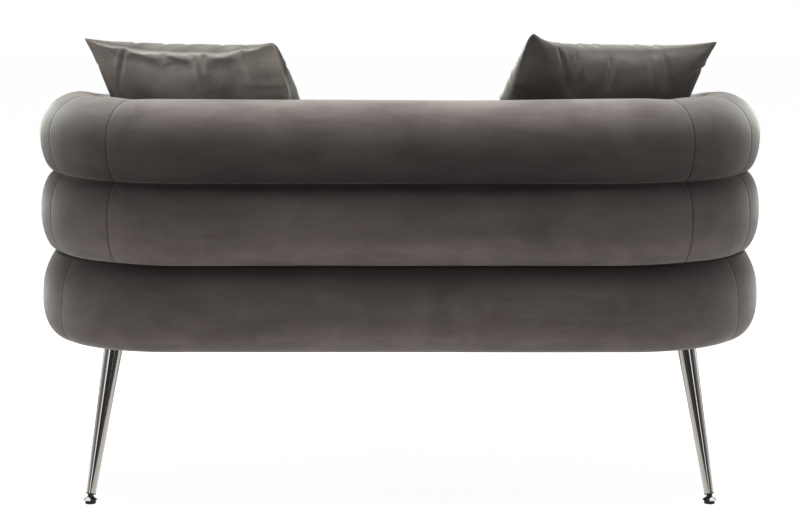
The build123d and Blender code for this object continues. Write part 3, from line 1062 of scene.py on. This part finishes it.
mid_padding = roll_mesh(
    "mid_roll_padding", squashed_profile, (seat_line, mid_top), (seat_line, mid_top - mid_drop), True
)
dress(mid_padding, "sofa", "velvet", "mid_roll")

base_padding = base_mesh()
dress(base_padding, "sofa", "velvet", "seat_cover")

# One cushion painted lit and the other painted shaded
for side, hand, seed in ((1, "right", 2), (-1, "left", 9)):
    looks = (pillow_painted_lights[hand], pillow_slumps[hand], pillow_lifts[hand], pillow_fronts[hand])
    pillow = pillow_mesh(f"{hand}_pillow_velvet", side, seed, *looks)
    dress(pillow, f"{hand}_pillow", "cushion_velvet", f"{hand}_pillow_cover", f"{hand}_pillow_fill")


def fixing_tree(name, sizes):
    """An empty Geometry Nodes tree with a mesh going in and out and named sizes."""
    tree = bpy.data.node_groups.new(name, "GeometryNodeTree")
    tree.interface.new_socket("Geometry", in_out="INPUT", socket_type="NodeSocketGeometry")
    tree.interface.new_socket("Geometry", in_out="OUTPUT", socket_type="NodeSocketGeometry")
    keys = {}
    for size in sizes:
        keys[size] = tree.interface.new_socket(size, in_out="INPUT", socket_type="NodeSocketFloat").identifier
    bench = Bench(tree)
    entry = tree.nodes.new("NodeGroupInput")
    inputs = {socket.name: Wire(bench, socket) for socket in entry.outputs if socket.name}
    return tree, bench, inputs, keys


def end_tree(bench, instances, material):
    """Makes the instances real, gives them their finish and ends the tree."""
    real = bench.node("GeometryNodeRealizeInstances", None, {"Geometry": instances})
    done = bench.node("GeometryNodeSetMaterial", None, {"Geometry": real, "Material": material})
    bench.node("NodeGroupOutput", None, {0: done})


def made_real(name, mesh, tree, keys, sizes, body):
    """Runs a tree on a mesh and keeps the result as a plain piece on one body."""
    carrier = bpy.data.objects.new(f"{name}_places", mesh)
    bpy.context.scene.collection.objects.link(carrier)
    modifier = carrier.modifiers.new(name, "NODES")
    modifier.node_group = tree
    for size, value in sizes.items():
        modifier[keys[size]] = value
    result = carrier.evaluated_get(bpy.context.evaluated_depsgraph_get())
    piece = bpy.data.objects.new(name, bpy.data.meshes.new_from_object(result))
    bpy.data.objects.remove(carrier)
    bpy.context.scene.collection.objects.link(piece)
    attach(piece, body)


def plate_screws():
    """Four pan-head screws under each leg plate."""
    tree, bench, inputs, keys = fixing_tree("pan_head_screws", ("Head", "Rise"))
    head = bench.node(
        "GeometryNodeMeshCone",
        None,
        {
            "Vertices": 20,
            "Side Segments": 2,
            "Radius Top": inputs["Head"] * screw_top,
            "Radius Bottom": inputs["Head"],
            "Depth": inputs["Rise"],
        },
    )
    over = bench.node("GeometryNodeTransform", None, {"Geometry": head, "Rotation": (pi, 0, 0)})
    values = {"Points": inputs["Geometry"], "Instance": over}
    spread = bench.node("GeometryNodeInstanceOnPoints", None, values)
    end_tree(bench, spread, bright_zinc)
    places = []
    for corner in ("rear_right", "rear_left", "front_right", "front_left"):
        low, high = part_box(f"{corner}_leg_plate")
        middle = (low + high) / 2
        turn = rear_splay if corner.startswith("rear") else front_splay
        if corner in ("rear_left", "front_right"):
            turn = -turn
        for across in (-1, 1):
            for upward in (-1, 1):
                spot = Vector((across * screw_spread / 2, upward * screw_spread / 2, 0))
                spot.rotate(Matrix.Rotation(turn, 3, "Z"))
                places.append((middle.x + spot.x, middle.y + spot.y, low.z))
    mesh = bpy.data.meshes.new("screw_places")
    mesh.from_pydata(places, [], [])
    sizes = {"Head": screw_head, "Rise": screw_rise}
    made_real("leg_plate_screws", mesh, tree, keys, sizes, "sofa")


def dust_cover_staples():
    """Wire staples round the edge of the cloth under the base."""
    tree, bench, inputs, keys = fixing_tree("cloth_staples", ("Spacing", "Width", "Wire"))
    line = bench.node("GeometryNodeMeshToCurve", None, {"Mesh": inputs["Geometry"]})
    even = bench.node(
        "GeometryNodeResampleCurve", {"mode": "LENGTH"}, {"Curve": line, "Length": inputs["Spacing"]}
    )
    along = bench.node("GeometryNodeInputTangent")
    turned = bench.node("FunctionNodeAlignRotationToVector", {"axis": "X"}, {"Vector": along})
    size = bench.node(
        "ShaderNodeCombineXYZ", None, {"X": inputs["Width"], "Y": inputs["Wire"], "Z": inputs["Wire"]}
    )
    staple = bench.node("GeometryNodeMeshCube", None, {"Size": size})
    spread = bench.node(
        "GeometryNodeInstanceOnPoints", None, {"Points": even, "Instance": staple, "Rotation": turned}
    )
    end_tree(bench, spread, bright_zinc)
    inset = half_width - dust_high.x + staple_inset
    ring = []
    for segment, fraction, gap in outline_stations(staple_line_step):
        where = outline_point(segment, fraction, *base_shape(inset))
        ring.append((where.x, where.y, dust_low.z))
    mesh = bpy.data.meshes.new("staple_line")
    mesh.from_pydata(ring, [(order, (order + 1) % len(ring)) for order in range(len(ring))], [])
    sizes = {"Spacing": staple_spacing, "Width": staple_width, "Wire": staple_wire}
    made_real("dust_cover_staples", mesh, tree, keys, sizes, "sofa")


plate_screws()
dust_cover_staples()


def studio_material(name, shown):
    """White that the camera and reflections see, over a plain pale surface that keeps the shadow."""
    material, bench = finish_bench(name)
    seen = bench.seen_directly()
    plain = bench.node("ShaderNodeBsdfDiffuse", None, {"Color": floor_tone})
    soft = bench.node("ShaderNodeBsdfDiffuse", None, {"Color": floor_shadow_tone})
    glow = bench.node("ShaderNodeEmission", None, {"Color": white, "Strength": shown})
    bright = bench.node("ShaderNodeAddShader", None, {0: glow, 1: soft})
    mixed = bench.node("ShaderNodeMixShader", None, {0: seen, 1: plain, 2: bright})
    bench.node("ShaderNodeOutputMaterial", None, {"Surface": mixed})
    return material


def flat_board(name, width, height, where, turn, material):
    """A stage board that isn't part of the sofa."""
    mesh = bpy.data.meshes.new(name)
    corners = [(x * width / 2, y * height / 2, 0) for x, y in ((-1, -1), (1, -1), (1, 1), (-1, 1))]
    mesh.from_pydata(corners, [], [(0, 1, 2, 3)])
    mesh.materials.append(material)
    board = bpy.data.objects.new(name, mesh)
    board.location = where
    board.rotation_euler = turn
    bpy.context.scene.collection.objects.link(board)
    return board


def softbox(name, width, height, where, watts, tone):
    """A large soft lamp turned to the sofa."""
    lamp = bpy.data.lights.new(name, "AREA")
    lamp.shape = "RECTANGLE"
    lamp.size = width
    lamp.size_y = height
    lamp.energy = watts
    lamp.color = tone
    holder = bpy.data.objects.new(name, lamp)
    holder.location = where
    holder.rotation_euler = (Vector(lamp_aim) - Vector(where)).to_track_quat("-Z", "Y").to_euler()
    holder.visible_glossy = False
    bpy.context.scene.collection.objects.link(holder)


def only_mirrored(card):
    """Leaves a card to the reflections."""
    card.visible_camera = False
    card.visible_diffuse = False
    card.visible_shadow = False


def card_material(name, shown):
    """An even dark tone."""
    material, bench = finish_bench(name)
    tone = bench.node("ShaderNodeEmission", None, {"Color": card_tone, "Strength": shown})
    bench.node("ShaderNodeOutputMaterial", None, {"Surface": tone})
    return material


def studio():
    """White room, soft lamps and a ring of dark cards that the polished legs mirror."""
    material = studio_material("white_floor", floor_shown)
    flat_board("studio_floor", floor_size, floor_size, (0, 0, 0), (0, 0, 0), material)
    for first, last, shown in dark_cards:
        material = card_material(f"card_{first}_{last}", shown)
        turn = radians(first + last) / 2
        width = 2 * card_distance * tan(radians(last - first) / 2)
        where = (-card_distance * sin(turn), card_distance * cos(turn), card_middle)
        only_mirrored(flat_board(material.name, width, card_height, where, (pi / 2, 0, turn), material))
    for order, (first, last, shown) in enumerate(floor_cards):
        material = card_material(f"floor_card_{order}", shown)
        where = (0, (first + last) / 2, floor_card_rise)
        depth = last - first
        only_mirrored(flat_board(material.name, floor_card_width, depth, where, (0, 0, 0), material))
    for lamp in lamps:
        softbox(*lamp)
    world = bpy.data.worlds.new("white_room")
    world.use_nodes = True
    world.node_tree.nodes.clear()
    bench = Bench(world.node_tree)
    seen = bench.seen_directly()
    fill = bench.node("ShaderNodeBackground", None, {"Color": room_tone, "Strength": room_fill})
    shown = bench.node("ShaderNodeBackground", None, {"Color": white, "Strength": 1.0})
    mixed = bench.node("ShaderNodeMixShader", None, {0: seen, 1: fill, 2: shown})
    bench.node("ShaderNodeOutputWorld", None, {"Surface": mixed})
    bpy.context.scene.world = world


def camera():
    """The camera that the photograph was fitted with."""
    data = bpy.data.cameras.new("photo_camera")
    data.lens = lens_mm
    data.sensor_width = film_mm
    holder = bpy.data.objects.new("photo_camera", data)
    holder.location = eye
    holder.rotation_euler = (pi / 2 - look_down, 0, pi)
    bpy.context.scene.collection.objects.link(holder)
    bpy.context.scene.camera = holder


studio()
camera()
bpy.context.scene.view_settings.view_transform = "Standard"
